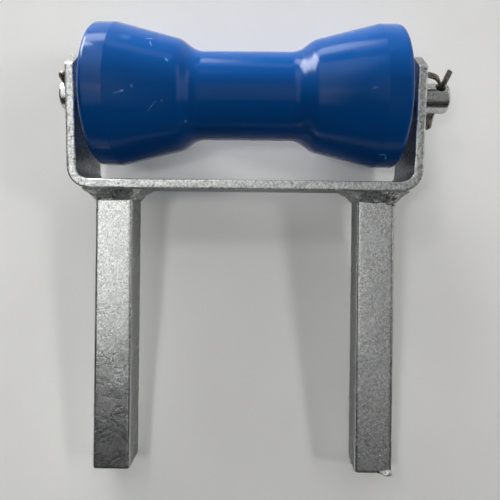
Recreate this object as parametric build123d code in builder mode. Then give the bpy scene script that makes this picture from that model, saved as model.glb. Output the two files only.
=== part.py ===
from build123d import *

import os
from math import acos, atan2, cos, degrees, radians, sin, sqrt, tan

# Keel roller for a boat trailer: a moulded bow-tie roller turns on a loose spindle
# between the ears of a bent flat-bar bracket, which is welded on two square stems.
# X runs along the spindle, Y to the back, Z up. The origin is midway between the
# two stems, on the plane of their lower ends. All sizes are millimetres.

# Stems
stem_width = 20.0
stem_length = 150.0
stem_spacing = 140.0
stem_corner_radius = 1.6
stem_end_chamfer = 0.6

# Roller
roller_length = 163.0
roller_end_diameter = 77.0
roller_waist_diameter = 48.0
roller_break_diameter = 60.0
land_length = 12.4
cone_length = 34.0
throat_length = 7.7
roller_rim_radius = 3.2
break_radius = 12.0
waist_radius = 12.0
bore_gap = 0.3
bore_chamfer = 1.2
end_dish_depth = 2.0
hub_diameter = 32.0
rim_width = 10.0
roller_offset = 0.5

# Flat bar bent into the bracket, and the room it leaves round the roller
bar_width = 40.0
bar_thickness = 5.0
bend_inner_radius = 6.0
roller_side_gap = 5.0
roller_bar_gap = 8.5
ear_splay_angle = 1.9
ear_above_axis = 20.0
ear_cut_depth = 10.5
ear_cut_height = 7.5
bar_edge_radius = 0.7

# Weld fillets round the stem tops
weld_leg_down = 5.5
weld_leg_out = 6.2
weld_toe = 0.4

# Split pins, bent from half-round wire
pin_diameter = 4.2
pin_split = 0.2
eye_inner_radius = 0.95
eye_neck_radius = 4.0
eye_length = 6.8
pin_length = 31.7
right_neck_standoff = 5.4
left_neck_sink = 1.4
left_pin_tilt = 3.0
leg_bend_radius = 8.2
leg_bend_angle = 74.0
leg_tip_length = 3.4
leg_splay_angle = 6.0

# Spindle
spindle_diameter = 16.2
spindle_end_radius = 1.5
ear_hole_gap = 0.4
cross_hole_gap = 1.4
cross_hole_inset = 5.2
cross_hole_angle = 36.0
eye_ear_gap = 0.15
spindle_float = 0.8

# Places that follow from the sizes above
bar_underside = stem_length
bar_top = bar_underside + bar_thickness
axis_height = bar_top + roller_bar_gap + roller_end_diameter / 2
ear_top = axis_height + ear_above_axis
ear_lean = tan(radians(ear_splay_angle))
bracket_width = roller_length + 2 * (roller_side_gap + bar_thickness)
ear_outer = bracket_width / 2 + (ear_top - bar_underside) * ear_lean
cross_hole_diameter = pin_diameter + cross_hole_gap

# The eye is a teardrop: its sides run straight from the neck to the round end.
flat_offset = pin_split / 2
leg_radius = pin_diameter / 2 - flat_offset
eye_outer_radius = eye_inner_radius + leg_radius
neck_centre = eye_neck_radius + flat_offset
neck_to_eye = sqrt(neck_centre**2 + eye_length**2)
tangent_turn = acos((eye_neck_radius + eye_inner_radius) / neck_to_eye)
neck_turn = degrees(atan2(eye_length, neck_centre) - tangent_turn)
eye_side = eye_length * cos(radians(neck_turn)) - neck_centre * sin(radians(neck_turn))

# The spindle lies pushed over until the left pin's eye meets the left ear. It can
# slide back by its float, until the right pin's bent leg meets the right ear.
left_eye_distance = spindle_diameter / 2 - left_neck_sink + eye_length
left_tilt_shift = left_eye_distance * sin(radians(left_pin_tilt))
left_hole_x = left_tilt_shift - eye_outer_radius - eye_ear_gap - ear_outer
bend_reach = (leg_bend_radius + flat_offset) * (1 - cos(radians(leg_bend_angle)))
tip_reach = leg_tip_length * sin(radians(leg_bend_angle))
tip_edge = leg_radius * cos(radians(leg_bend_angle))
right_hole_x = ear_outer + spindle_float + bend_reach + tip_reach + tip_edge
spindle_left_end = left_hole_x - cross_hole_inset
spindle_length = right_hole_x + cross_hole_inset - spindle_left_end

os.makedirs("parts", exist_ok=True)


def save(piece, name):
    piece.label = name
    export_step(piece, f"parts/{name}.step")


# Bracket: one flat bar bent up at both ends, its ears leaning out a little and their
# four corners cut off
with BuildPart() as u_bracket:
    with BuildSketch(Plane.XZ) as bent_bar:
        lean = radians(ear_splay_angle)
        half_bar = bar_thickness / 2
        bar_middle = bar_underside + half_bar
        bend_x = bracket_width / 2 - half_bar / cos(lean) + half_bar * ear_lean
        rough_top = ear_top + bar_thickness
        rough_x = bend_x + (rough_top - bar_middle) * ear_lean
        with BuildLine() as bar_line:
            FilletPolyline(
                (-rough_x, rough_top),
                (-bend_x, bar_middle),
                (bend_x, bar_middle),
                (rough_x, rough_top),
                radius=bend_inner_radius + half_bar,
            )
        trace(line_width=bar_thickness)
    extrude(amount=bar_width / 2, both=True)
    with BuildSketch(Plane.YZ) as ear_side:
        half = bar_width / 2
        cut_start = ear_top - ear_cut_height
        with BuildLine():
            Polyline(
                (-half, bar_underside),
                (half, bar_underside),
                (half, cut_start),
                (half - ear_cut_depth, ear_top),
                (ear_cut_depth - half, ear_top),
                (-half, cut_start),
                close=True,
            )
        make_face()
    extrude(amount=bracket_width, both=True, mode=Mode.INTERSECT)
    outline_edges = u_bracket.faces().filter_by(Axis.Y).edges()
    fillet(outline_edges, radius=bar_edge_radius)
    with BuildSketch(Plane.YZ) as ear_hole:
        with Locations((0, axis_height)):
            Circle(spindle_diameter / 2 + ear_hole_gap)
    extrude(amount=bracket_width, both=True, mode=Mode.SUBTRACT)
save(u_bracket.part, "u_bracket")


# Stems: square bar sawn to length, standing centred under the bracket's bar
for side, stem_name in ((-1, "left_stem"), (1, "right_stem")):
    stem_x = side * stem_spacing / 2
    with BuildPart() as stem:
        with BuildSketch(Plane((stem_x, 0, 0))):
            RectangleRounded(stem_width, stem_width, stem_corner_radius)
        extrude(amount=stem_length)
        chamfer(stem.faces().sort_by(Axis.Z)[0].edges(), length=stem_end_chamfer)
    save(stem.part, stem_name)

# Weld runs: four fillets round each stem top, turning round half of each stem corner
# at both ends and meeting their neighbours on the diagonal
def fillet_section(section_y):
    half_stem = stem_width / 2
    root_z = bar_underside - weld_leg_down
    toe_out = (half_stem + weld_leg_out, bar_underside)
    toe_down = (half_stem + weld_toe, root_z)
    with BuildSketch(Plane((0, section_y, 0), x_dir=(1, 0, 0), z_dir=(0, -1, 0))) as section:
        with BuildLine():
            Polyline(
                toe_out,
                toe_down,
                (half_stem, root_z),
                (half_stem, bar_underside),
                close=True,
            )
        make_face()
    return section.sketch


corner_place = stem_width / 2 - stem_corner_radius
for side, stem_name in ((-1, "left"), (1, "right")):
    stem_x = side * stem_spacing / 2
    for quarter, run_name in enumerate(("right", "rear", "left", "front")):
        with BuildPart() as weld_run:
            extrude(fillet_section(0), amount=corner_place, both=True)
            for end in (-1, 1):
                corner_axis = Axis((corner_place, end * corner_place, 0), (0, 0, end))
                corner_section = fillet_section(end * corner_place)
                revolve(corner_section, axis=corner_axis, revolution_arc=45)
        turned = weld_run.part.rotate(Axis.Z, 90 * quarter)
        placed = turned.translate((stem_x, 0, 0))
        save(placed, f"weld_{stem_name}_stem_{run_name}")

# Spindle: plain round bar with rounded ends and a cross hole near each end
with BuildPart() as spindle:
    with BuildSketch(Plane.YZ.offset(spindle_left_end)) as bar_end:
        with Locations((0, axis_height)):
            Circle(spindle_diameter / 2)
    extrude(amount=spindle_length)
    fillet(spindle.edges().filter_by(GeomType.CIRCLE), radius=spindle_end_radius)
    for hole_x in (left_hole_x, right_hole_x):
        hole_plane = Plane(
            (hole_x, 0, axis_height),
            x_dir=(1, 0, 0),
            z_dir=(0, -cos(radians(cross_hole_angle)), sin(radians(cross_hole_angle))),
        )
        with BuildSketch(hole_plane):
            Circle(cross_hole_diameter / 2)
        extrude(amount=spindle_diameter, both=True, mode=Mode.SUBTRACT)
save(spindle.part, "spindle")


# Split pin: half-round wire doubled back on itself round an eye. In its plane x points
# outboard and y from the eye to the tips. One leg is spread a little outboard, and the
# other is bent well over to the side given.
def split_pin(pin_plane, neck_y, bent_side):
    surface_y = spindle_diameter / 2
    tip_y = neck_y + pin_length
    straight_side = -bent_side
    straight_x = straight_side * flat_offset
    bent_x = bent_side * flat_offset
    eye_turn = 180 + 2 * neck_turn
    with BuildPart() as pin:
        with BuildLine(pin_plane) as wire:
            splay = (tip_y - surface_y) * tan(radians(leg_splay_angle))
            spread = Line((straight_x + splay, tip_y), (straight_x, surface_y))
            down = Line(spread @ 1, (straight_x, neck_y))
            neck = JernArc(down @ 1, (0, -1), eye_neck_radius, straight_side * neck_turn)
            side = PolarLine(neck @ 1, eye_side, direction=neck % 1)
            eye = JernArc(side @ 1, side % 1, eye_inner_radius, bent_side * eye_turn)
            back = PolarLine(eye @ 1, eye_side, direction=eye % 1)
            neck_back = JernArc(back @ 1, back % 1, eye_neck_radius, straight_side * neck_turn)
            up = Line(neck_back @ 1, (bent_x, surface_y))
            bend = JernArc(up @ 1, (0, 1), leg_bend_radius, straight_side * leg_bend_angle)
            PolarLine(bend @ 1, leg_tip_length, direction=bend % 1)
        start = wire.line @ 0
        heading = wire.line % 0
        outward = pin_plane.x_dir * straight_side
        with BuildSketch(Plane(start, x_dir=outward, z_dir=heading)) as half_round:
            Circle(leg_radius)
            Rectangle(leg_radius, 2 * leg_radius, align=(Align.MAX, Align.CENTER), mode=Mode.SUBTRACT)
        sweep(path=wire.line, transition=Transition.RIGHT)
    return pin.part


pin_normal = (0, -sin(radians(cross_hole_angle)), -cos(radians(cross_hole_angle)))
right_pin_plane = Plane((right_hole_x, 0, axis_height), x_dir=(1, 0, 0), z_dir=pin_normal)
right_neck_y = -(spindle_diameter / 2 + right_neck_standoff)
save(split_pin(right_pin_plane, right_neck_y, bent_side=-1), "split_pin_right")

left_pin_plane = Plane((left_hole_x, 0, axis_height), x_dir=(-1, 0, 0), z_dir=pin_normal)
left_pin_plane = left_pin_plane.rotated((0, 0, -left_pin_tilt))
left_neck_y = left_neck_sink - spindle_diameter / 2
save(split_pin(left_pin_plane, left_neck_y, bent_side=1), "split_pin_left")

# Roller: turned outline of one half, mirrored, with a dished end face round the hub
with BuildPart() as roller:
    with BuildSketch(Plane.XZ) as half_outline:
        half_length = roller_length / 2
        land_start = half_length - land_length
        break_x = land_start - cone_length
        waist_x = break_x - throat_length
        bore_radius = spindle_diameter / 2 + bore_gap
        rim_inner = roller_end_diameter / 2 - rim_width
        dish_x = half_length - end_dish_depth
        with BuildLine():
            Polyline(
                (0, bore_radius),
                (0, roller_waist_diameter / 2),
                (waist_x, roller_waist_diameter / 2),
                (break_x, roller_break_diameter / 2),
                (land_start, roller_end_diameter / 2),
                (half_length, roller_end_diameter / 2),
                (half_length, rim_inner),
                (dish_x, rim_inner - end_dish_depth),
                (dish_x, hub_diameter / 2 + end_dish_depth),
                (half_length, hub_diameter / 2),
                (half_length, bore_radius + bore_chamfer),
                (half_length - bore_chamfer, bore_radius),
                close=True,
            )
        make_face()
        corners = half_outline.vertices()

        def corner_at(x, r):
            return corners.sort_by_distance((x, 0, r))[0]

        fillet(corner_at(waist_x, roller_waist_diameter / 2), radius=waist_radius)
        fillet(corner_at(break_x, roller_break_diameter / 2), radius=break_radius)
        fillet(corner_at(half_length, roller_end_diameter / 2), radius=roller_rim_radius)
    revolve(axis=Axis.X, revolution_arc=360)
    mirror(about=Plane.YZ)
save(roller.part.translate((roller_offset, 0, axis_height)), "roller")
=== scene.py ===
import math

import bmesh
import bpy
from mathutils import Matrix, Vector


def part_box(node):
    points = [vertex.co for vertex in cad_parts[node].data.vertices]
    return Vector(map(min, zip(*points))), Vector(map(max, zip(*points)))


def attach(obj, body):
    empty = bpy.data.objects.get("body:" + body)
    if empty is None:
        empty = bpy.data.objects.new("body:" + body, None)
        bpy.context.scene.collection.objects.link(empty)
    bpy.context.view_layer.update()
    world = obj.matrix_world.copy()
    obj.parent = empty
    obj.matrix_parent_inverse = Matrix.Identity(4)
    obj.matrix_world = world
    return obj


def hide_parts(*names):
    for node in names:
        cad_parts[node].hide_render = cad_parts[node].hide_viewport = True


# Keel roller lying on a pale table top. The frame stands it upright, so the table is
# the nearly upright sheet behind it, and the camera looks along +Y. Lengths here are in
# mm, apart from the lamps', and go through mm on the way to Blender's metres. In the
# dictionaries, a key in title case is an input of the piece's node tree.
mm = 0.001
touching = 0.001 * mm  # points this near each other are one point
noiseMiddle = 0.5
noiseSwing = 4.0  # nearly all noise is within a quarter of its middle, so it runs -1 to 1

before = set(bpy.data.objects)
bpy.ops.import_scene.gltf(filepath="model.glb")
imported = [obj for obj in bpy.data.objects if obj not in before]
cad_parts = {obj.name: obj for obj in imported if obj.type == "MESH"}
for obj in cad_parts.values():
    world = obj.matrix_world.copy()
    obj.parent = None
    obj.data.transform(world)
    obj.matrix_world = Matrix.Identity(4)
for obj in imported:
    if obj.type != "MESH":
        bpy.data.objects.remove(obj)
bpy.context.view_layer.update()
print("frame loaded:", len(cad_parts), "nodes")

scene = bpy.context.scene
scene.view_settings.view_transform = "Standard"


def linearColour(hexText):
    # sRGB hex to the linear values that the shaders take
    shares = [int(hexText[start : start + 2], 16) / 255 for start in (1, 3, 5)]
    linear = [
        share / 12.92 if share <= 0.04045 else ((share + 0.055) / 1.055) ** 2.4 for share in shares
    ]
    return (*linear, 1.0)


def addNode(tree, kind, settings=None, links=None):
    # a setting is a socket's name or number, or else one of the node's own properties
    node = tree.nodes.new(kind)
    for name, value in (settings or {}).items():
        if isinstance(name, int) or name in node.inputs:
            node.inputs[name].default_value = value
        else:
            setattr(node, name, value)
    for name, source in (links or {}).items():
        socket = source.outputs[0] if isinstance(source, bpy.types.Node) else source
        tree.links.new(socket, node.inputs[name])
    return node


def startMaterial(name):
    material = bpy.data.materials.new(name)
    material.use_nodes = True
    tree = material.node_tree
    tree.nodes.clear()
    shader = addNode(tree, "ShaderNodeBsdfPrincipled")
    addNode(tree, "ShaderNodeOutputMaterial", links={"Surface": shader})
    return material, tree, shader


def startTree(name, inputs):
    # inputs are name: (kind, default), and each becomes a named input of the modifier
    tree = bpy.data.node_groups.new(name, "GeometryNodeTree")
    tree.interface.new_socket("Geometry", in_out="OUTPUT", socket_type="NodeSocketGeometry")
    tree.interface.new_socket("Geometry", in_out="INPUT", socket_type="NodeSocketGeometry")
    for title, (kind, default) in inputs.items():
        socket = tree.interface.new_socket(title, in_out="INPUT", socket_type="NodeSocket" + kind)
        if default is not None:
            socket.default_value = default
    return tree, addNode(tree, "NodeGroupInput")


def endTree(tree, given, geometry):
    real = addNode(tree, "GeometryNodeRealizeInstances", links={"Geometry": geometry})
    finished = addNode(
        tree, "GeometryNodeSetMaterial", links={"Geometry": real, "Material": given.outputs["Material"]}
    )
    addNode(tree, "NodeGroupOutput", links={"Geometry": finished})
    return tree


def addTree(piece, tree, values):
    # sets the values that are named like an input of the tree, and leaves the rest
    modifier = piece.modifiers.new(tree.name, "NODES")
    modifier.node_group = tree
    for item in tree.interface.items_tree:
        if item.in_out == "INPUT" and item.name in values:
            modifier[item.identifier] = values[item.name]


def newPiece(name, data):
    piece = bpy.data.objects.new(name, data)
    scene.collection.objects.link(piece)
    return piece


def settle(source, name):
    # what the modifiers make becomes a plain mesh of its own
    graph = bpy.context.evaluated_depsgraph_get()
    mesh = bpy.data.meshes.new_from_object(source.evaluated_get(graph), depsgraph=graph)
    mesh.name = name
    shape = bmesh.new()
    shape.from_mesh(mesh)
    bmesh.ops.recalc_face_normals(shape, faces=shape.faces)
    shape.to_mesh(mesh)
    shape.free()
    bpy.data.objects.remove(source)
    return newPiece(name, mesh)


def outlineCurve(name, points):
    # points are (x, y, rounding) in mm; the rounding is kept as the point's radius
    curve = bpy.data.curves.new(name, "CURVE")
    curve.dimensions = "3D"
    spline = curve.splines.new("POLY")
    spline.points.add(len(points) - 1)
    for point, (x, y, rounding) in zip(spline.points, points):
        point.co = (x * mm, y * mm, 0, 1)
        point.radius = rounding * mm
    spline.use_cyclic_u = True
    return newPiece(name, curve)


# Camera: solved from the object's edges in the photograph. Its yaw and roll are in
# radians, and its axis meets the picture at axisPixel.
camera = {
    "place": (9.785, -276.41, 138.918),
    "yaw": -0.0089,
    "roll": 0.0117,
    "lens": 36.0,
    "sensor": 36.0,
    "axisPixel": (258.63, 211.15),
    "pictureSize": 500,
    "clipStart": 10.0,
}


def placeCamera():
    data = bpy.data.cameras.new("photoCamera")
    data.lens = camera["lens"]
    data.sensor_width = camera["sensor"]
    size = camera["pictureSize"]
    data.shift_x = (size / 2 - camera["axisPixel"][0]) / size
    data.shift_y = (camera["axisPixel"][1] - size / 2) / size
    data.clip_start = camera["clipStart"] * mm
    seen = newPiece("photoCamera", data)
    ahead = Vector((math.sin(camera["yaw"]), math.cos(camera["yaw"]), 0))
    right = ahead.cross(Vector((0, 0, 1)))
    up = right.cross(ahead)
    roll = camera["roll"]
    rightTurned = right * math.cos(roll) + up * math.sin(roll)
    upTurned = up * math.cos(roll) - right * math.sin(roll)
    turn = Matrix((rightTurned, upTurned, -ahead)).transposed()
    seen.matrix_world = Matrix.Translation(Vector(camera["place"]) * mm) @ turn.to_4x4()
    scene.camera = seen


placeCamera()
print("camera placed")

# Light, read off the photograph. The table's shadows show a low lamp and a high one on
# the left, and the same on the right. The skies light the object's top and only skim the
# table. The gloss shows soft walls, a bright window far on the left, low over the table,
# and a room that is darker below. Each panel is given by where its middle is (azimuth
# and elevation in degrees), its width and height in degrees, how far away it is in
# metres and its own brightness. Some light matt surfaces alone, some show in gloss alone.
lamps = {
    "leftLamp": {"at": (-19, 3), "size": (7, 7), "away": 1.1, "brightness": 30.0, "lights": "matt"},
    "leftHighLamp": {"at": (-24, 31), "size": (7, 7), "away": 1.1, "brightness": 15.5, "lights": "matt"},
    "rightLamp": {"at": (46, 4), "size": (7, 7), "away": 2.4, "brightness": 34.0, "lights": "matt"},
    "rightHighLamp": {"at": (48, 26), "size": (6, 6), "away": 2.4, "brightness": 20.0, "lights": "matt"},
    "leftSky": {"at": (-104, 68), "size": (28, 32), "away": 2.4, "brightness": 22.5, "lights": "matt"},
    "rightSky": {"at": (104, 68), "size": (28, 32), "away": 2.4, "brightness": 8.5, "lights": "matt"},
    "leftWallTop": {"at": (-26, 47), "size": (20, 22), "away": 1.0, "brightness": 2.2, "lights": "gloss"},
    "leftWallMid": {"at": (-26, 20), "size": (20, 31), "away": 1.0, "brightness": 1.15, "lights": "gloss"},
    "nearWall": {"at": (-25, -4), "size": (15, 26), "away": 0.8, "brightness": 1.45, "lights": "gloss"},
    "frontWall": {"at": (-1, 2), "size": (24, 40), "away": 2.4, "brightness": 0.68, "lights": "gloss"},
    "shadedWall": {"at": (16, -12), "size": (22, 38), "away": 2.4, "brightness": 0.22, "lights": "gloss"},
    "rightWall": {"at": (58, 16), "size": (15, 56), "away": 2.4, "brightness": 1.7, "lights": "gloss"},
    "farWindow": {"at": (-79, 52), "size": (28, 26), "away": 2.4, "brightness": 22.0, "lights": "gloss"},
    "tableEdge": {"at": (-80, 76), "size": (16, 20), "away": 2.4, "brightness": 6.0, "lights": "gloss"},
    "ceilingStrip": {"at": (-30, 76), "size": (50, 9), "away": 2.4, "brightness": 1.3, "lights": "all"},
}
lampTarget = (0, 0, 0.12)  # metres, the middle of the object
# The room all round, dark below and pale above, blended between two heights of view
room = {"above": "#9fa0a2", "below": "#1c1c1e", "floorLine": -0.15, "ceilingLine": 0.95}


def placeLamps():
    for name, lamp in lamps.items():
        azimuth, elevation = (math.radians(angle) for angle in lamp["at"])
        wide, high = (math.radians(angle) for angle in lamp["size"])
        data = bpy.data.lights.new(name, "AREA")
        data.shape = "RECTANGLE"
        data.size = 2 * lamp["away"] * math.tan(wide / 2)
        data.size_y = 2 * lamp["away"] * math.tan(high / 2)
        data.energy = math.pi * data.size * data.size_y * lamp["brightness"]
        towards = Vector(
            (
                math.sin(azimuth) * math.cos(elevation),
                -math.cos(azimuth) * math.cos(elevation),
                math.sin(elevation),
            )
        )
        lit = newPiece(name, data)
        lit.location = Vector(lampTarget) + towards * lamp["away"]
        lit.rotation_euler = towards.to_track_quat("Z", "Y").to_euler()
        lit.visible_camera = False
        lit.visible_diffuse = lamp["lights"] != "gloss"
        lit.visible_glossy = lamp["lights"] != "matt"


def lightRoom():
    world = bpy.data.worlds.new("paleRoom")
    world.use_nodes = True
    scene.world = world
    tree = world.node_tree
    tree.nodes.clear()
    coordinates = addNode(tree, "ShaderNodeTexCoord")
    parts = addNode(tree, "ShaderNodeSeparateXYZ", links={0: coordinates.outputs["Generated"]})
    height = addNode(
        tree,
        "ShaderNodeMapRange",
        {
            "interpolation_type": "SMOOTHSTEP",
            "From Min": room["floorLine"],
            "From Max": room["ceilingLine"],
        },
        {"Value": parts.outputs["Z"]},
    )
    colour = addNode(
        tree,
        "ShaderNodeMix",
        {"data_type": "RGBA", 6: linearColour(room["below"]), 7: linearColour(room["above"])},
        {0: height},
    )
    shade = addNode(tree, "ShaderNodeBackground", {"Strength": 1.0}, {"Color": colour.outputs[2]})
    addNode(tree, "ShaderNodeOutputWorld", links={"Surface": shade})


placeLamps()
lightRoom()
print("lights placed")

# Table top: pale painted board, matt. The object lies on it on the backs of the roller's
# ends and of the stems' lower ends, so it leans a little in the object's frame.
table = {
    "colour": "#e9e8e5",
    "roughness": 0.75,
    "glow": 0.07,  # what it shows to the eye beyond the light of the lamps
    "cloudLength": 90.0,
    "cloudSpan": (0.3, 0.7),  # of the noise
    "tone": (0.97, 1.03),
    "halfSize": 900,
    "rollerGap": 0.3,  # between the table and the roller's ends
    "stemGap": 1.5,  # between the table and the stems' feet
}


def makePaintedBoard():
    material, tree, shader = startMaterial("mattPaintedBoard")
    coordinates = addNode(tree, "ShaderNodeTexCoord")
    cloud = addNode(
        tree,
        "ShaderNodeTexNoise",
        {"Scale": 1 / (table["cloudLength"] * mm), "Detail": 2.0},
        {"Vector": coordinates.outputs["Object"]},
    )
    tone = addNode(
        tree,
        "ShaderNodeMapRange",
        {
            "From Min": table["cloudSpan"][0],
            "From Max": table["cloudSpan"][1],
            "To Min": table["tone"][0],
            "To Max": table["tone"][1],
        },
        {"Value": cloud},
    )
    colour = addNode(
        tree,
        "ShaderNodeVectorMath",
        {"operation": "SCALE", 0: linearColour(table["colour"])[:3]},
        {"Scale": tone},
    )
    tree.links.new(colour.outputs[0], shader.inputs["Base Color"])
    shader.inputs["Roughness"].default_value = table["roughness"]
    # to the eye, and in the metal, the board is a little brighter than the lamps make it
    ray = addNode(tree, "ShaderNodeLightPath")
    seen = addNode(
        tree,
        "ShaderNodeMath",
        {"operation": "MAXIMUM"},
        {0: ray.outputs["Is Camera Ray"], 1: ray.outputs["Is Glossy Ray"]},
    )
    seenThrough = addNode(
        tree, "ShaderNodeMath", {"operation": "MAXIMUM"}, {0: seen, 1: ray.outputs["Is Transmission Ray"]}
    )
    glow = addNode(tree, "ShaderNodeMath", {"operation": "MULTIPLY", 1: table["glow"]}, {0: seenThrough})
    tree.links.new(colour.outputs[0], shader.inputs["Emission Color"])
    tree.links.new(glow.outputs[0], shader.inputs["Emission Strength"])
    # seen from behind it is clear, so that the object's back can be looked at
    side = addNode(tree, "ShaderNodeNewGeometry")
    clear = addNode(tree, "ShaderNodeBsdfTransparent")
    both = addNode(
        tree,
        "ShaderNodeMixShader",
        links={0: side.outputs["Backfacing"], 1: shader, 2: clear},
    )
    output = next(node for node in tree.nodes if node.type == "OUTPUT_MATERIAL")
    tree.links.new(both.outputs[0], output.inputs["Surface"])
    return material


def makeTable():
    # the sheet leans so that it clears the roller's ends and the stems' feet by the gaps
    half = table["halfSize"] * mm
    rollerLow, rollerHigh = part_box("roller")
    axisHeight = (rollerLow.z + rollerHigh.z) / 2
    reach = (rollerHigh.z - rollerLow.z) / 2 + table["rollerGap"] * mm
    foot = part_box("left_stem")[1].y + table["stemGap"] * mm
    lean = math.atan2(axisHeight, foot) - math.acos(reach / math.hypot(axisHeight, foot))
    low, high = foot - half * math.tan(lean), foot + half * math.tan(lean)
    corners = [(-half, low, -half), (half, low, -half), (half, high, half), (-half, high, half)]
    mesh = bpy.data.meshes.new("tableTop")
    mesh.from_pydata(corners, [], [(0, 1, 2, 3)])
    mesh.materials.append(makePaintedBoard())
    newPiece("tableTop", mesh)


makeTable()
print("table made")

# Blue plastic: polypropylene, injection moulded, so an even colour under a satin
# gloss, with a faint ripple, fine rings from rubbing, pale scuffs from handling, and
# bright cyan nicks whose colour is partly a painted glint
bluePlastic = {
    "colour": "#084c92",
    "roughness": (0.13, 0.19),
    "ior": 1.49,
    "gloss": 0.17,  # a moulded skin that has gone slightly dull
    "cloudLength": 14.0,
    "cloudSpan": (0.35, 0.65),  # of the noise
    "rippleLength": 6.0,
    "rippleHeight": 0.004,
    "ringSpacing": 0.8,  # real ones are finer, and wouldn't show at this size
    "ringHeight": 0.0012,
    "rubbed": "#86a9dc",
    # the nicks' lighter cyan is partly their own colour and partly a painted glint
    "nickAndGlint": "#38a6e4",
    "scuffAndGlintRadius": 30.0,  # the surface is unrolled at this radius to place the scuffs
    "scuffAndGlintRoughness": 0.5,
    "scuffAndGlintEdge": (0.4, 1.3),  # from full strength to none, in half sizes of the scuff
    "raggedLength": 0.7,
    "ragged": 1.6,  # how far the noise moves a scuff's edge, in half sizes
}
# Each mark: x in mm, degrees up from the front, half length and half width in mm,
# turn in degrees, and how strong it is
rubbedScuffs = [
    (-59.8, 39.6, 2.6, 2.1, 0, 0.1),
    (-48.7, 45.0, 2.3, 0.5, 25, 0.3),
    (-47.7, 38.4, 2.0, 0.5, -66, 0.3),
    (-59.2, -9.0, 1.0, 0.45, 20, 0.85),
    (-61.3, -10.1, 2.4, 0.4, 15, 0.3),
    (-54.6, -4.9, 0.7, 0.6, 0, 0.35),
    (-46.0, -21.7, 3.3, 0.26, 44, 0.45),
    (-40.9, -16.7, 0.6, 0.6, 0, 0.25),
    (-30.5, -40.8, 0.5, 0.9, 10, 0.55),
    (62.9, -5.1, 1.6, 0.5, 12, 0.28),
    (-13.0, -86.0, 0.5, 0.5, 0, 0.5),
]
# Nicks: one high on the left cone and a hook low on the right, drawn bright cyan, which is partly a painted
# glint
nickAndGlintMarks = [
    (-39.0, 21.9, 0.8, 0.9, 30, 0.9),
    (70.9, -60.2, 1.9, 0.6, 8, 1.0),
    (72.9, -64.0, 1.6, 0.6, -75, 1.0),
]


def scuffAndGlintMask(tree, unrolled, edge, scuffsAndGlints):
    # 1 on a mark (a scuff, or a nick with its painted glint) and 0 off it, with a ragged edge
    total = None
    for x, upTurn, halfLength, halfWidth, turn, share in scuffsAndGlints:
        across = math.radians(upTurn) * bluePlastic["scuffAndGlintRadius"]
        own = addNode(
            tree,
            "ShaderNodeMapping",
            {
                "vector_type": "TEXTURE",
                "Location": (x * mm, across * mm, 0),
                "Rotation": (0, 0, math.radians(turn)),
                "Scale": (halfLength * mm, halfWidth * mm, 1),
            },
            {"Vector": unrolled},
        )
        away = addNode(tree, "ShaderNodeVectorMath", {"operation": "LENGTH"}, {0: own})
        rough = addNode(
            tree, "ShaderNodeMath", {"operation": "ADD"}, {0: away.outputs["Value"], 1: edge}
        )
        mask = addNode(
            tree,
            "ShaderNodeMapRange",
            {
                "interpolation_type": "SMOOTHSTEP",
                "From Min": bluePlastic["scuffAndGlintEdge"][0],
                "From Max": bluePlastic["scuffAndGlintEdge"][1],
                "To Min": share,
                "To Max": 0,
            },
            {"Value": rough},
        )
        if total is None:
            total = mask
        else:
            total = addNode(tree, "ShaderNodeMath", {"operation": "MAXIMUM"}, {0: total, 1: mask})
    return total


def layFlat(tree, place):
    # x along the roller, and the arc up from its front
    low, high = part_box("roller")
    rise = addNode(
        tree, "ShaderNodeMath", {"operation": "SUBTRACT", 1: (low.z + high.z) / 2}, {0: place.outputs["Z"]}
    )
    front = addNode(tree, "ShaderNodeMath", {"operation": "MULTIPLY", 1: -1.0}, {0: place.outputs["Y"]})
    around = addNode(tree, "ShaderNodeMath", {"operation": "ARCTAN2"}, {0: rise, 1: front})
    arc = addNode(
        tree, "ShaderNodeMath", {"operation": "MULTIPLY", 1: bluePlastic["scuffAndGlintRadius"] * mm}, {0: around}
    )
    return addNode(tree, "ShaderNodeCombineXYZ", links={"X": place.outputs["X"], "Y": arc})


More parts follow.
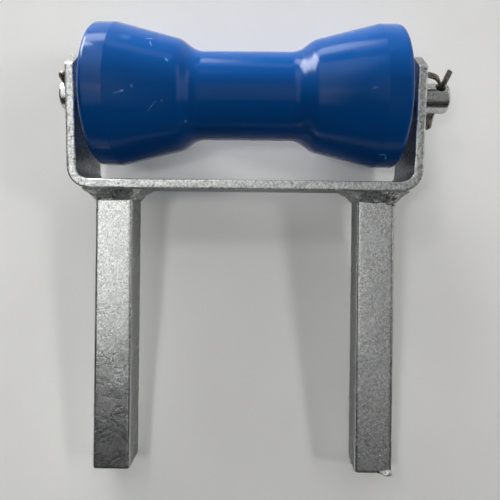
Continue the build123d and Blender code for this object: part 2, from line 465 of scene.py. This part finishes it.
def makeBluePlastic():
    material, tree, shader = startMaterial("mouldedPolypropylene")
    coordinates = addNode(tree, "ShaderNodeTexCoord")
    place = addNode(tree, "ShaderNodeSeparateXYZ", links={0: coordinates.outputs["Object"]})
    unrolled = layFlat(tree, place)
    grit = addNode(
        tree,
        "ShaderNodeTexNoise",
        {"Scale": 1 / (bluePlastic["raggedLength"] * mm), "Detail": 2.0},
        {"Vector": coordinates.outputs["Object"]},
    )
    edge = addNode(
        tree,
        "ShaderNodeMath",
        {"operation": "MULTIPLY_ADD", 1: bluePlastic["ragged"], 2: -bluePlastic["ragged"] / 2},
        {0: grit},
    )
    rubbed = scuffAndGlintMask(tree, unrolled, edge, rubbedScuffs)
    # nicks, whose bright cyan is partly a painted glint
    nickAndGlint = scuffAndGlintMask(tree, unrolled, edge, nickAndGlintMarks)
    worn = addNode(
        tree,
        "ShaderNodeMix",
        {
            "data_type": "RGBA",
            6: linearColour(bluePlastic["colour"]),
            7: linearColour(bluePlastic["rubbed"]),
        },
        {0: rubbed},
    )
    colour = addNode(
        tree,
        "ShaderNodeMix",
        {"data_type": "RGBA", 7: linearColour(bluePlastic["nickAndGlint"])},
        {0: nickAndGlint, 6: worn.outputs[2]},
    )
    tree.links.new(colour.outputs[2], shader.inputs["Base Color"])
    cloud = addNode(
        tree,
        "ShaderNodeTexNoise",
        {"Scale": 1 / (bluePlastic["cloudLength"] * mm), "Detail": 3.0},
        {"Vector": coordinates.outputs["Object"]},
    )
    satin = addNode(
        tree,
        "ShaderNodeMapRange",
        {
            "From Min": bluePlastic["cloudSpan"][0],
            "From Max": bluePlastic["cloudSpan"][1],
            "To Min": bluePlastic["roughness"][0],
            "To Max": bluePlastic["roughness"][1],
        },
        {"Value": cloud},
    )
    anyScuffAndGlint = addNode(tree, "ShaderNodeMath", {"operation": "MAXIMUM"}, {0: rubbed, 1: nickAndGlint})
    rough = addNode(
        tree,
        "ShaderNodeMix",
        {"data_type": "FLOAT", 3: bluePlastic["scuffAndGlintRoughness"]},
        {0: anyScuffAndGlint, 2: satin},
    )
    tree.links.new(rough.outputs[0], shader.inputs["Roughness"])
    shader.inputs["IOR"].default_value = bluePlastic["ior"]
    shader.inputs["Specular IOR Level"].default_value = bluePlastic["gloss"]
    ripple = addNode(
        tree,
        "ShaderNodeTexNoise",
        {"Scale": 1 / (bluePlastic["rippleLength"] * mm), "Detail": 2.0},
        {"Vector": coordinates.outputs["Object"]},
    )
    rings = addNode(
        tree,
        "ShaderNodeTexNoise",
        {"noise_dimensions": "1D", "Scale": 1 / (bluePlastic["ringSpacing"] * mm), "Detail": 3.0},
        {"W": place.outputs["X"]},
    )
    rippled = addNode(
        tree,
        "ShaderNodeBump",
        {"Strength": 1.0, "Distance": bluePlastic["rippleHeight"] * mm},
        {"Height": ripple},
    )
    ringed = addNode(
        tree,
        "ShaderNodeBump",
        {"Strength": 1.0, "Distance": bluePlastic["ringHeight"] * mm},
        {"Height": rings, "Normal": rippled},
    )
    tree.links.new(ringed.outputs[0], shader.inputs["Normal"])
    return material


# Zinc: steel dipped in molten zinc, so a light grey metal skin, grainy and dull,
# with soft crystal patches, darker pits and a slightly uneven surface. Grain and
# spangle are the width of a grain and of a crystal patch in mm.
zincLooks = {
    "dippedZinc": {
        "light": "#eaece9",
        "dark": "#bcbebc",
        "metallic": 0.97,
        "grain": 0.8,
        "spangle": 7.0,
        "roughness": (0.25, 0.28),
        "grainHeight": 0.07,
        "pitShare": 0.69,
    },
    "dippedBarZinc": {
        "light": "#f2f4f1",
        "dark": "#aeb0ae",
        "metallic": 0.95,
        "grain": 1.2,
        "spangle": 7.0,
        "roughness": (0.28, 0.34),
        "grainHeight": 0.2,
        "pitShare": 0.68,
    },
    "dippedWeldZinc": {
        "light": "#d8dad8",
        "dark": "#8f9291",
        "metallic": 0.9,
        "grain": 1.5,
        "spangle": 5.0,
        "roughness": (0.34, 0.46),
        "grainHeight": 0.2,
        "pitShare": 0.64,
    },
}
# What all three have alike. Weathered zinc doesn't turn bright at a glancing look, as a
# clean metal does, so it has a grey tint there.
zincSurface = {
    "glancingTint": "#8e9094",
    "grainSpan": (0.36, 0.64),  # of the noise, from the dark tone to the light one
    "patchTone": 0.05,  # how far a crystal patch is from its neighbours, either way
    "pitLength": 2.2,  # in lengths of the grain
    "pitEdge": 0.06,
    "pitTone": 0.45,
}


def makeZinc(name):
    look = zincLooks[name]
    material, tree, shader = startMaterial(name)
    coordinates = addNode(tree, "ShaderNodeTexCoord").outputs["Object"]
    shader.inputs["Metallic"].default_value = look["metallic"]
    shader.inputs["Specular Tint"].default_value = linearColour(zincSurface["glancingTint"])
    grain = addNode(
        tree,
        "ShaderNodeTexNoise",
        {"Scale": 1 / (look["grain"] * mm), "Detail": 3.0, "Roughness": 0.6},
        {"Vector": coordinates},
    )
    spangle = addNode(
        tree,
        "ShaderNodeTexVoronoi",
        {"Scale": 1 / (look["spangle"] * mm), "Randomness": 1.0},
        {"Vector": coordinates},
    )
    patch = addNode(tree, "ShaderNodeSeparateColor", links={0: spangle.outputs["Color"]})
    pits = addNode(
        tree,
        "ShaderNodeTexNoise",
        {"Scale": 1 / (zincSurface["pitLength"] * look["grain"] * mm), "Detail": 1.0},
        {"Vector": coordinates},
    )
    pitMask = addNode(
        tree,
        "ShaderNodeMapRange",
        {
            "From Min": look["pitShare"],
            "From Max": look["pitShare"] + zincSurface["pitEdge"],
            "To Min": 1.0,
            "To Max": zincSurface["pitTone"],
        },
        {"Value": pits},
    )
    grainShare = addNode(
        tree,
        "ShaderNodeMapRange",
        {"From Min": zincSurface["grainSpan"][0], "From Max": zincSurface["grainSpan"][1]},
        {"Value": grain},
    )
    patchTone = addNode(
        tree,
        "ShaderNodeMapRange",
        {"To Min": -zincSurface["patchTone"], "To Max": zincSurface["patchTone"]},
        {"Value": patch.outputs["Red"]},
    )
    share = addNode(
        tree,
        "ShaderNodeMath",
        {"operation": "ADD", "use_clamp": True},
        {0: grainShare, 1: patchTone},
    )
    colour = addNode(
        tree,
        "ShaderNodeMix",
        {"data_type": "RGBA", 6: linearColour(look["dark"]), 7: linearColour(look["light"])},
        {0: share},
    )
    pitted = addNode(
        tree,
        "ShaderNodeVectorMath",
        {"operation": "SCALE"},
        {0: colour.outputs[2], "Scale": pitMask},
    )
    tree.links.new(pitted.outputs[0], shader.inputs["Base Color"])
    rough = addNode(
        tree,
        "ShaderNodeMapRange",
        {"To Min": look["roughness"][0], "To Max": look["roughness"][1]},
        {"Value": patch.outputs["Green"]},
    )
    tree.links.new(rough.outputs[0], shader.inputs["Roughness"])
    bump = addNode(
        tree,
        "ShaderNodeBump",
        {"Strength": 1.0, "Distance": look["grainHeight"] * mm},
        {"Height": grain},
    )
    tree.links.new(bump.outputs[0], shader.inputs["Normal"])
    return material


# Split pins: plated steel wire gone dull and brownish
pinSteel = {
    "light": "#8f897d",
    "dark": "#4d463c",
    "patchLength": 2.5,
    "patchSpan": (0.35, 0.65),  # of the noise
    "roughness": (0.3, 0.5),
}


def makePinSteel():
    material, tree, shader = startMaterial("dullPlatedSteel")
    coordinates = addNode(tree, "ShaderNodeTexCoord")
    shader.inputs["Metallic"].default_value = 1.0
    patch = addNode(
        tree,
        "ShaderNodeTexNoise",
        {"Scale": 1 / (pinSteel["patchLength"] * mm), "Detail": 4.0},
        {"Vector": coordinates.outputs["Object"]},
    )
    share = addNode(
        tree,
        "ShaderNodeMapRange",
        {"From Min": pinSteel["patchSpan"][0], "From Max": pinSteel["patchSpan"][1]},
        {"Value": patch},
    )
    colour = addNode(
        tree,
        "ShaderNodeMix",
        {"data_type": "RGBA", 6: linearColour(pinSteel["dark"]), 7: linearColour(pinSteel["light"])},
        {0: share},
    )
    tree.links.new(colour.outputs[2], shader.inputs["Base Color"])
    rough = addNode(
        tree,
        "ShaderNodeMapRange",
        {"To Min": pinSteel["roughness"][1], "To Max": pinSteel["roughness"][0]},
        {"Value": share},
    )
    tree.links.new(rough.outputs[0], shader.inputs["Roughness"])
    return material


plastic = makeBluePlastic()
zinc = makeZinc("dippedZinc")
barZinc = makeZinc("dippedBarZinc")
weldZinc = makeZinc("dippedWeldZinc")
wire = makePinSteel()
print("materials made")

# Roller: one outline turned round the spindle's axis. The outline is a loop from the
# waist out over the cone and land, down the dished end face and back along the bore.
roller = {
    "waistDiameter": 48.0,
    "breakDiameter": 60.0,
    "landLength": 12.4,
    "coneLength": 34.0,
    "throatLength": 7.7,
    "boreDiameter": 16.8,
    "boreChamfer": 1.2,
    "dishDepth": 2.0,
    "hubDiameter": 32.0,
    "rimWidth": 10.0,
    "waistRounding": 12.0,
    "breakRounding": 12.0,
    "landRounding": 0.25,
    "rimRounding": 3.2,
    "dishEdgeRounding": 0.5,
    "dishRounding": 1.0,
    "boreRounding": 0.2,
    "roundingSteps": 9,
    "Segments": 256,
    "Crease Angle": math.radians(8),
}


def rollerOutline(halfLength, endRadius):
    landStart = halfLength - roller["landLength"]
    breakX = landStart - roller["coneLength"]
    waistX = breakX - roller["throatLength"]
    rimInner = endRadius - roller["rimWidth"]
    dishX = halfLength - roller["dishDepth"]
    hub = roller["hubDiameter"] / 2
    bore = roller["boreDiameter"] / 2
    half = [
        (waistX, roller["waistDiameter"] / 2, roller["waistRounding"]),
        (breakX, roller["breakDiameter"] / 2, roller["breakRounding"]),
        (landStart, endRadius, roller["landRounding"]),
        (halfLength, endRadius, roller["rimRounding"]),
        (halfLength, rimInner, roller["dishEdgeRounding"]),
        (dishX, rimInner - roller["dishDepth"], roller["dishRounding"]),
        (dishX, hub + roller["dishDepth"], roller["dishRounding"]),
        (halfLength, hub, roller["dishEdgeRounding"]),
        (halfLength, bore + roller["boreChamfer"], roller["boreRounding"]),
        (halfLength - roller["boreChamfer"], bore, roller["boreRounding"]),
    ]
    return half + [(-x, radius, rounding) for x, radius, rounding in reversed(half)]


def turnedTree():
    tree, given = startTree(
        "turnedOutline",
        {"Segments": ("Int", 256), "Crease Angle": ("Float", 0.14), "Material": ("Material", None)},
    )
    rounding = addNode(tree, "GeometryNodeInputRadius")
    rounded = addNode(
        tree,
        "GeometryNodeFilletCurve",
        {"mode": "POLY", "Count": roller["roundingSteps"], "Limit Radius": True},
        {"Curve": given.outputs["Geometry"], "Radius": rounding},
    )
    # the grid has one row and one column more than it needs, where it closes on itself
    size = addNode(
        tree, "GeometryNodeAttributeDomainSize", {"component": "CURVE"}, {"Geometry": rounded}
    )
    count = size.outputs["Point Count"]
    across = addNode(tree, "ShaderNodeMath", {"operation": "ADD", 1: 1.0}, {0: count})
    around = addNode(tree, "ShaderNodeMath", {"operation": "ADD", 1: 1.0}, {0: given.outputs["Segments"]})
    grid = addNode(tree, "GeometryNodeMeshGrid", links={"Vertices X": across, "Vertices Y": around})
    place = addNode(tree, "ShaderNodeSeparateXYZ", links={0: grid.outputs["UV Map"]})
    # the outline's point for this row, the last row being the first point again
    row = addNode(tree, "ShaderNodeMath", {"operation": "MULTIPLY"}, {0: place.outputs["X"], 1: count})
    nearest = addNode(tree, "ShaderNodeMath", {"operation": "ROUND"}, {0: row})
    wrapped = addNode(tree, "ShaderNodeMath", {"operation": "FLOORED_MODULO"}, {0: nearest, 1: count})
    where = addNode(tree, "GeometryNodeInputPosition")
    point = addNode(
        tree,
        "GeometryNodeSampleIndex",
        {"data_type": "FLOAT_VECTOR", "domain": "POINT"},
        {"Geometry": rounded, "Value": where, "Index": wrapped},
    )
    profile = addNode(tree, "ShaderNodeSeparateXYZ", links={0: point})
    angle = addNode(
        tree, "ShaderNodeMath", {"operation": "MULTIPLY", 1: 2 * math.pi}, {0: place.outputs["Y"]}
    )
    cosine = addNode(tree, "ShaderNodeMath", {"operation": "COSINE"}, {0: angle})
    sine = addNode(tree, "ShaderNodeMath", {"operation": "SINE"}, {0: angle})
    radius = profile.outputs["Y"]
    depth = addNode(tree, "ShaderNodeMath", {"operation": "MULTIPLY"}, {0: radius, 1: cosine})
    height = addNode(tree, "ShaderNodeMath", {"operation": "MULTIPLY"}, {0: radius, 1: sine})
    turned = addNode(
        tree, "ShaderNodeCombineXYZ", links={"X": profile.outputs["X"], "Y": depth, "Z": height}
    )
    placed = addNode(
        tree, "GeometryNodeSetPosition", links={"Geometry": grid.outputs["Mesh"], "Position": turned}
    )
    closed = addNode(tree, "GeometryNodeMergeByDistance", {"Distance": touching}, {"Geometry": placed})
    smooth = addNode(tree, "GeometryNodeSetShadeSmooth", {"domain": "FACE"}, {"Geometry": closed})
    edge = addNode(tree, "GeometryNodeInputMeshEdgeAngle")
    sharp = addNode(
        tree, "ShaderNodeMath", {"operation": "GREATER_THAN"}, {0: edge, 1: given.outputs["Crease Angle"]}
    )
    creased = addNode(
        tree,
        "GeometryNodeSetShadeSmooth",
        {"domain": "EDGE", "Shade Smooth": False},
        {"Geometry": smooth, "Selection": sharp},
    )
    return endTree(tree, given, creased)


def makeRoller():
    low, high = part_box("roller")
    halfLength = (high.x - low.x) / 2 / mm
    endRadius = (high.z - low.z) / 2 / mm
    outline = outlineCurve("rollerOutline", rollerOutline(halfLength, endRadius))
    addTree(outline, turnedTree(), {**roller, "Material": plastic})
    piece = settle(outline, "moulded_roller")
    piece.data.transform(Matrix.Translation((low + high) / 2))
    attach(piece, "roller")
    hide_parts("roller")
    print("roller turned:", len(piece.data.polygons), "faces")


makeRoller()

# Zinc skin: what dipping leaves on a steel piece. Long low waves, a fine grain, small
# pits, and pimples of dross scattered over it.
skin = {
    "Wave Height": 0.05 * mm,
    "Wave Length": 12.0 * mm,
    "Grain Height": 0.035 * mm,
    "Grain Length": 1.5 * mm,
    "Pit Depth": 0.05 * mm,
    "Pimples": 1.2e4,  # per square metre
    "Pimple Size": 0.32 * mm,
    "seedShift": 0.37,  # metres by which one seed moves the noise
    "pitsPerGrain": 0.6,
    "pitSpan": (0.7, 0.78),  # of the noise, from no pit to a full one
    "pimpleSides": 8,
    "pimpleRings": 5,
    "pimpleSizes": (0.4, 1.0),  # shares of Pimple Size
    "pimpleHeight": 0.55,  # a share of its radius
}


def scatterPimples(tree, given, coated):
    seed = given.outputs["Seed"]
    spots = addNode(
        tree,
        "GeometryNodeDistributePointsOnFaces",
        links={"Mesh": coated, "Density": given.outputs["Pimples"], "Seed": seed},
    )
    ball = addNode(
        tree,
        "GeometryNodeMeshUVSphere",
        {"Segments": skin["pimpleSides"], "Rings": skin["pimpleRings"], "Radius": 1.0},
    )
    smallest, largest = skin["pimpleSizes"]
    size = addNode(
        tree, "FunctionNodeRandomValue", {"data_type": "FLOAT", 2: smallest, 3: largest}, {"Seed": seed}
    )
    radius = addNode(
        tree,
        "ShaderNodeMath",
        {"operation": "MULTIPLY"},
        {0: size.outputs[1], 1: given.outputs["Pimple Size"]},
    )
    flat = addNode(
        tree,
        "ShaderNodeVectorMath",
        {"operation": "SCALE", 0: (1.0, 1.0, skin["pimpleHeight"])},
        {"Scale": radius},
    )
    return addNode(
        tree,
        "GeometryNodeInstanceOnPoints",
        links={
            "Points": spots.outputs["Points"],
            "Instance": ball,
            "Rotation": spots.outputs["Rotation"],
            "Scale": flat,
        },
    )


def zincSkinTree():
    tree, given = startTree(
        "zincSkin",
        {
            "Wave Height": ("Float", 0.0),
            "Wave Length": ("Float", 0.01),
            "Grain Height": ("Float", 0.0),
            "Grain Length": ("Float", 0.001),
            "Pit Depth": ("Float", 0.0),
            "Pimples": ("Float", 0.0),
            "Pimple Size": ("Float", 0.0),
            "Seed": ("Int", 1),
            "Material": ("Material", None),
        },
    )
    where = addNode(tree, "GeometryNodeInputPosition")
    shift = addNode(
        tree,
        "ShaderNodeMath",
        {"operation": "MULTIPLY", 1: skin["seedShift"]},
        {0: given.outputs["Seed"]},
    )
    moved = addNode(tree, "ShaderNodeVectorMath", {"operation": "ADD"}, {0: where, 1: shift})
    heights = []
    for heightName, lengthName in (("Wave Height", "Wave Length"), ("Grain Height", "Grain Length")):
        length, height = given.outputs[lengthName], given.outputs[heightName]
        scale = addNode(tree, "ShaderNodeMath", {"operation": "DIVIDE", 0: 1.0}, {1: length})
        field = addNode(tree, "ShaderNodeTexNoise", {"Detail": 1.0}, {"Vector": moved, "Scale": scale})
        centred = addNode(tree, "ShaderNodeMath", {"operation": "SUBTRACT", 1: noiseMiddle}, {0: field})
        swing = addNode(tree, "ShaderNodeMath", {"operation": "MULTIPLY", 1: noiseSwing}, {0: centred})
        heights.append(addNode(tree, "ShaderNodeMath", {"operation": "MULTIPLY"}, {0: swing, 1: height}))
    pitScale = addNode(
        tree,
        "ShaderNodeMath",
        {"operation": "DIVIDE", 0: skin["pitsPerGrain"]},
        {1: given.outputs["Grain Length"]},
    )
    pitField = addNode(tree, "ShaderNodeTexNoise", {"Detail": 0.0}, {"Vector": moved, "Scale": pitScale})
    pit = addNode(
        tree,
        "ShaderNodeMapRange",
        {"From Min": skin["pitSpan"][0], "From Max": skin["pitSpan"][1]},
        {"Value": pitField},
    )
    pitHeight = addNode(
        tree, "ShaderNodeMath", {"operation": "MULTIPLY"}, {0: pit, 1: given.outputs["Pit Depth"]}
    )
    both = addNode(tree, "ShaderNodeMath", {"operation": "ADD"}, {0: heights[0], 1: heights[1]})
    total = addNode(tree, "ShaderNodeMath", {"operation": "SUBTRACT"}, {0: both, 1: pitHeight})
    normal = addNode(tree, "GeometryNodeInputNormal")
    offset = addNode(tree, "ShaderNodeVectorMath", {"operation": "SCALE"}, {0: normal, "Scale": total})
    coated = addNode(
        tree, "GeometryNodeSetPosition", links={"Geometry": given.outputs["Geometry"], "Offset": offset}
    )
    pimples = scatterPimples(tree, given, coated)
    together = addNode(tree, "GeometryNodeJoinGeometry", links={"Geometry": coated})
    tree.links.new(pimples.outputs[0], together.inputs[0])
    smooth = addNode(tree, "GeometryNodeSetShadeSmooth", {"domain": "FACE"}, {"Geometry": together})
    return endTree(tree, given, smooth)


skinTree = zincSkinTree()


def mergedCopy(nodeName):
    # a copy of a CAD node as one closed mesh
    shape = bmesh.new()
    shape.from_mesh(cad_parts[nodeName].data)
    bmesh.ops.remove_doubles(shape, verts=shape.verts, dist=touching)
    mesh = bpy.data.meshes.new(nodeName + "Steel")
    shape.to_mesh(mesh)
    shape.free()
    return newPiece(nodeName + "Steel", mesh)


def addLumps(piece, lumps):
    # each lump is an egg shape: (centre, half sizes), in mm
    shape = bmesh.new()
    shape.from_mesh(piece.data)
    for centre, halfSizes in lumps:
        stretch = Matrix.Diagonal((*(Vector(halfSizes) * mm), 1))
        place = Matrix.Translation(Vector(centre) * mm) @ stretch
        bmesh.ops.create_icosphere(shape, subdivisions=2, radius=1.0, matrix=place)
    shape.to_mesh(piece.data)
    shape.free()


def dip(piece, name, material, seed, look):
    # the piece and its lumps melt together, flow a little and take the skin
    melt = piece.modifiers.new("melt", "REMESH")
    melt.mode = "VOXEL"
    melt.voxel_size = look["voxel"] * mm
    if look["flowRounds"]:
        flow = piece.modifiers.new("flow", "SMOOTH")
        flow.iterations = look["flowRounds"]
    addTree(piece, skinTree, {**skin, **look["skin"], "Seed": seed, "Material": material})
    return settle(piece, name)


# Bracket and stems: how finely each melts, how often its edges flow, and what its skin
# has otherwise. A stem's flats are drawn smooth before dipping, so its grain is low. The
# lumps are zinc where it ran off: a drip under the right stem's outer corner, and burrs
# on the stems' lower edges.
bracket = {"seed": 3, "voxel": 0.68, "flowRounds": 0, "skin": {}}
stems = {
    "firstSeed": 11,
    "voxel": 0.55,
    "flowRounds": 3,
    "skin": {"Grain Height": 0.018 * mm},
    "lumps": {
        "left_stem": [((-78.4, -9.2, 1.6), (0.9, 0.8, 0.9))],
        "right_stem": [
            ((74.8, -9.2, 0.2), (2.6, 1.3, 0.7)),
            ((77.4, -9.8, -0.3), (3.0, 1.5, 1.0)),
            ((78.6, -9.8, 0.3), (1.4, 1.3, 1.3)),
            ((59.8, 0.0, 0.6), (0.7, 1.0, 0.7)),
        ],
    },
}


def makeBracket():
    piece = dip(mergedCopy("u_bracket"), "dipped_bracket", barZinc, bracket["seed"], bracket)
    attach(piece, "bracket")
    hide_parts("u_bracket")
    print("bracket dipped:", len(piece.data.polygons), "faces")


def makeStems():
    for seed, (nodeName, lumps) in enumerate(stems["lumps"].items(), start=stems["firstSeed"]):
        steel = mergedCopy(nodeName)
        addLumps(steel, lumps)
        piece = dip(steel, "dipped_" + nodeName, zinc, seed, stems)
        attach(piece, "bracket")
        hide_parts(nodeName)
        print(nodeName, "dipped:", len(piece.data.polygons), "faces")


makeBracket()
makeStems()

# Weld beads: one section swept round the top of each stem, rippled where the arc
# stepped along, with a few lumps of zinc caught on it
weld = {
    "legDown": 5.8,
    "legOut": 7.8,
    "toe": 0.4,  # how far the lower edge stands off the stem
    "hollow": 0.3,  # how far the bead's face is drawn in
    "sunk": 0.7,  # how deep the bead lies in the bar and the stem
    "sunkShare": 0.8,  # how much of the leg along the bar is sunk
    "cornerSteps": 8,
    "stepsAlong": 321,
    "stepsAcross": 41,
    "touching": 0.01 * mm,
    "crescentTurn": 0.3,  # the share of the section where a ripple's curve turns back
    "seedShift": 0.53,  # metres by which one seed moves the noise
    "lumpDetail": 1.5,
    "uneven": 2.5,  # ripples by which the noise moves a ripple along
    "Corner Rounding": 1.6 * mm,
    "Ripple Spacing": 1.7 * mm,
    "Ripple Height": 0.14 * mm,
    "Lump Length": 4.5 * mm,
    "Lump Height": 0.4 * mm,
    "Crescent": 1.6 * mm,  # each ripple is curved, as a weld pool is
    "firstSeed": 21,
    "voxel": 0.34,
    "flowRounds": 0,
    "skin": {"Pimples": 0.0},
    "lumps": {
        "left": [
            ((-78.2, -10.5, 144.2), (1.6, 0.6, 0.5)),
            ((-75.6, -10.4, 144.0), (1.9, 0.5, 0.4)),
            ((-72.4, -10.6, 144.2), (2.1, 0.6, 0.5)),
            ((-69.0, -10.4, 144.1), (1.8, 0.5, 0.4)),
            ((-65.8, -10.6, 144.3), (2.0, 0.6, 0.5)),
            ((-62.8, -10.8, 144.6), (1.7, 0.7, 0.6)),
        ],
        "right": [
            ((69.4, -11.9, 144.9), (2.5, 1.4, 1.2)),
            ((76.2, -11.0, 143.6), (1.3, 0.9, 0.6)),
            ((77.9, -11.3, 144.3), (1.4, 1.0, 0.7)),
            ((79.5, -11.6, 145.2), (1.3, 1.1, 0.7)),
            ((79.2, -10.5, 142.9), (0.8, 0.7, 0.8)),
        ],
    },
}


def sweepSection(tree, given):
    # the section goes round a square with rounded corners, and its seams are closed
    square = addNode(
        tree,
        "GeometryNodeCurvePrimitiveQuadrilateral",
        links={"Width": given.outputs["Stem Width"], "Height": given.outputs["Stem Width"]},
    )
    path = addNode(
        tree,
        "GeometryNodeFilletCurve",
        {"mode": "POLY", "Count": weld["cornerSteps"]},
        {"Curve": square, "Radius": given.outputs["Corner Rounding"]},
    )
    grid = addNode(
        tree,
        "GeometryNodeMeshGrid",
        {"Vertices X": weld["stepsAlong"], "Vertices Y": weld["stepsAcross"]},
    )
    share = addNode(tree, "ShaderNodeSeparateXYZ", links={0: grid.outputs["UV Map"]})
    along = addNode(
        tree,
        "GeometryNodeSampleCurve",
        {"mode": "FACTOR", "use_all_curves": True},
        {"Curves": path, "Factor": share.outputs["X"]},
    )
    section = addNode(
        tree,
        "GeometryNodeSampleCurve",
        {"mode": "FACTOR", "use_all_curves": True},
        {"Curves": given.outputs["Geometry"], "Factor": share.outputs["Y"]},
    )
    sectionPlace = addNode(tree, "ShaderNodeSeparateXYZ", links={0: section.outputs["Position"]})
    outward = addNode(
        tree,
        "ShaderNodeVectorMath",
        {"operation": "CROSS_PRODUCT", 1: (0.0, 0.0, 1.0)},
        {0: along.outputs["Tangent"]},
    )
    level = addNode(tree, "ShaderNodeVectorMath", {"operation": "NORMALIZE"}, {0: outward})
    reach = addNode(
        tree, "ShaderNodeVectorMath", {"operation": "SCALE"}, {0: level, "Scale": sectionPlace.outputs["X"]}
    )
    drop = addNode(tree, "ShaderNodeCombineXYZ", links={"Z": sectionPlace.outputs["Y"]})
    beside = addNode(
        tree, "ShaderNodeVectorMath", {"operation": "ADD"}, {0: along.outputs["Position"], 1: reach}
    )
    swept = addNode(tree, "ShaderNodeVectorMath", {"operation": "ADD"}, {0: beside, 1: drop})
    placed = addNode(
        tree, "GeometryNodeSetPosition", links={"Geometry": grid.outputs["Mesh"], "Position": swept}
    )
    # how far along the bead a point is, bent to a crescent, is kept before the seams are
    # merged, because the grid's own shares are lost there
    length = addNode(tree, "GeometryNodeCurveLength", links={"Curve": path})
    walked = addNode(tree, "ShaderNodeMath", {"operation": "MULTIPLY"}, {0: share.outputs["X"], 1: length})
    crossed = addNode(
        tree,
        "ShaderNodeMath",
        {"operation": "PINGPONG", 1: weld["crescentTurn"]},
        {0: share.outputs["Y"]},
    )
    bent = addNode(
        tree,
        "ShaderNodeMath",
        {"operation": "MULTIPLY_ADD"},
        {0: crossed, 1: given.outputs["Crescent"], 2: walked},
    )
    kept = addNode(
        tree,
        "GeometryNodeStoreNamedAttribute",
        {"data_type": "FLOAT", "domain": "POINT", "Name": "walked"},
        {"Geometry": placed, "Value": bent},
    )
    return addNode(
        tree,
        "GeometryNodeMergeByDistance",
        {"Distance": weld["touching"]},
        {"Geometry": kept},
    )


def rippleRelief(tree, given):
    # how far each point is pushed out: ripples along the bead, uneven and with lumps
    distance = addNode(
        tree, "GeometryNodeInputNamedAttribute", {"data_type": "FLOAT", "Name": "walked"}
    )
    where = addNode(tree, "GeometryNodeInputPosition")
    shift = addNode(
        tree,
        "ShaderNodeMath",
        {"operation": "MULTIPLY", 1: weld["seedShift"]},
        {0: given.outputs["Seed"]},
    )
    moved = addNode(tree, "ShaderNodeVectorMath", {"operation": "ADD"}, {0: where, 1: shift})
    lumpScale = addNode(
        tree, "ShaderNodeMath", {"operation": "DIVIDE", 0: 1.0}, {1: given.outputs["Lump Length"]}
    )
    lumpField = addNode(
        tree,
        "ShaderNodeTexNoise",
        {"Detail": weld["lumpDetail"]},
        {"Vector": moved, "Scale": lumpScale},
    )
    lumpCentred = addNode(
        tree, "ShaderNodeMath", {"operation": "SUBTRACT", 1: noiseMiddle}, {0: lumpField}
    )
    lump = addNode(
        tree,
        "ShaderNodeMath",
        {"operation": "MULTIPLY"},
        {0: lumpCentred, 1: given.outputs["Lump Height"]},
    )
    turns = addNode(
        tree,
        "ShaderNodeMath",
        {"operation": "DIVIDE"},
        {0: distance, 1: given.outputs["Ripple Spacing"]},
    )
    uneven = addNode(
        tree,
        "ShaderNodeMath",
        {"operation": "MULTIPLY_ADD", 1: weld["uneven"]},
        {0: lumpField, 2: turns},
    )
    phase = addNode(tree, "ShaderNodeMath", {"operation": "MULTIPLY", 1: 2 * math.pi}, {0: uneven})
    wave = addNode(tree, "ShaderNodeMath", {"operation": "SINE"}, {0: phase})
    ripple = addNode(
        tree, "ShaderNodeMath", {"operation": "MULTIPLY"}, {0: wave, 1: given.outputs["Ripple Height"]}
    )
    raised = addNode(
        tree, "ShaderNodeMath", {"operation": "MULTIPLY_ADD", 1: noiseSwing}, {0: lump, 2: ripple}
    )
    normal = addNode(tree, "GeometryNodeInputNormal")
    return addNode(tree, "ShaderNodeVectorMath", {"operation": "SCALE"}, {0: normal, "Scale": raised})


def weldTree():
    tree, given = startTree(
        "weldBead",
        {
            "Stem Width": ("Float", 0.02),
            "Corner Rounding": ("Float", 0.0016),
            "Ripple Spacing": ("Float", 0.002),
            "Ripple Height": ("Float", 0.0),
            "Lump Length": ("Float", 0.005),
            "Lump Height": ("Float", 0.0),
            "Crescent": ("Float", 0.0),
            "Seed": ("Int", 1),
            "Material": ("Material", None),
        },
    )
    closed = sweepSection(tree, given)
    offset = rippleRelief(tree, given)
    rippled = addNode(tree, "GeometryNodeSetPosition", links={"Geometry": closed, "Offset": offset})
    return endTree(tree, given, rippled)


def makeWelds():
    beadTree = weldTree()
    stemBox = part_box("left_stem")
    stemWidth = stemBox[1].x - stemBox[0].x
    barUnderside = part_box("u_bracket")[0].z
    out, down, sunk = weld["legOut"], weld["legDown"], weld["sunk"]
    # the section, out from the stem and up to the bar's underside, has no roundings
    section = [
        (out, 0, 0),
        (out / 2 - weld["hollow"], weld["hollow"] - down / 2, 0),
        (weld["toe"], -down, 0),
        (-sunk, -down, 0),
        (-sunk, sunk, 0),
        (out * weld["sunkShare"], sunk, 0),
    ]
    for seed, (side, lumps) in enumerate(weld["lumps"].items(), start=weld["firstSeed"]):
        outline = outlineCurve(side + "WeldSection", section)
        values = {**weld, "Stem Width": stemWidth, "Seed": seed, "Material": weldZinc}
        addTree(outline, beadTree, values)
        bead = settle(outline, side + "WeldBead")
        stemLow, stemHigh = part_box(side + "_stem")
        middleX = (stemLow.x + stemHigh.x) / 2
        bead.data.transform(Matrix.Translation((middleX, 0, barUnderside)))
        addLumps(bead, lumps)
        piece = dip(bead, side + "_weld_bead", weldZinc, seed, weld)
        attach(piece, "bracket")
        runs = [f"weld_{side}_stem_{run}" for run in ("right", "rear", "left", "front")]
        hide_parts(*runs)
        print(side, "weld made:", len(piece.data.polygons), "faces")


makeWelds()

# Spindle and split pins keep their CAD shapes
finishes = {"spindle": zinc, "split_pin_left": wire, "split_pin_right": wire}
for nodeName, material in finishes.items():
    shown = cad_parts[nodeName]
    shown.data.materials.clear()
    shown.data.materials.append(material)
print("spindle and pins finished")
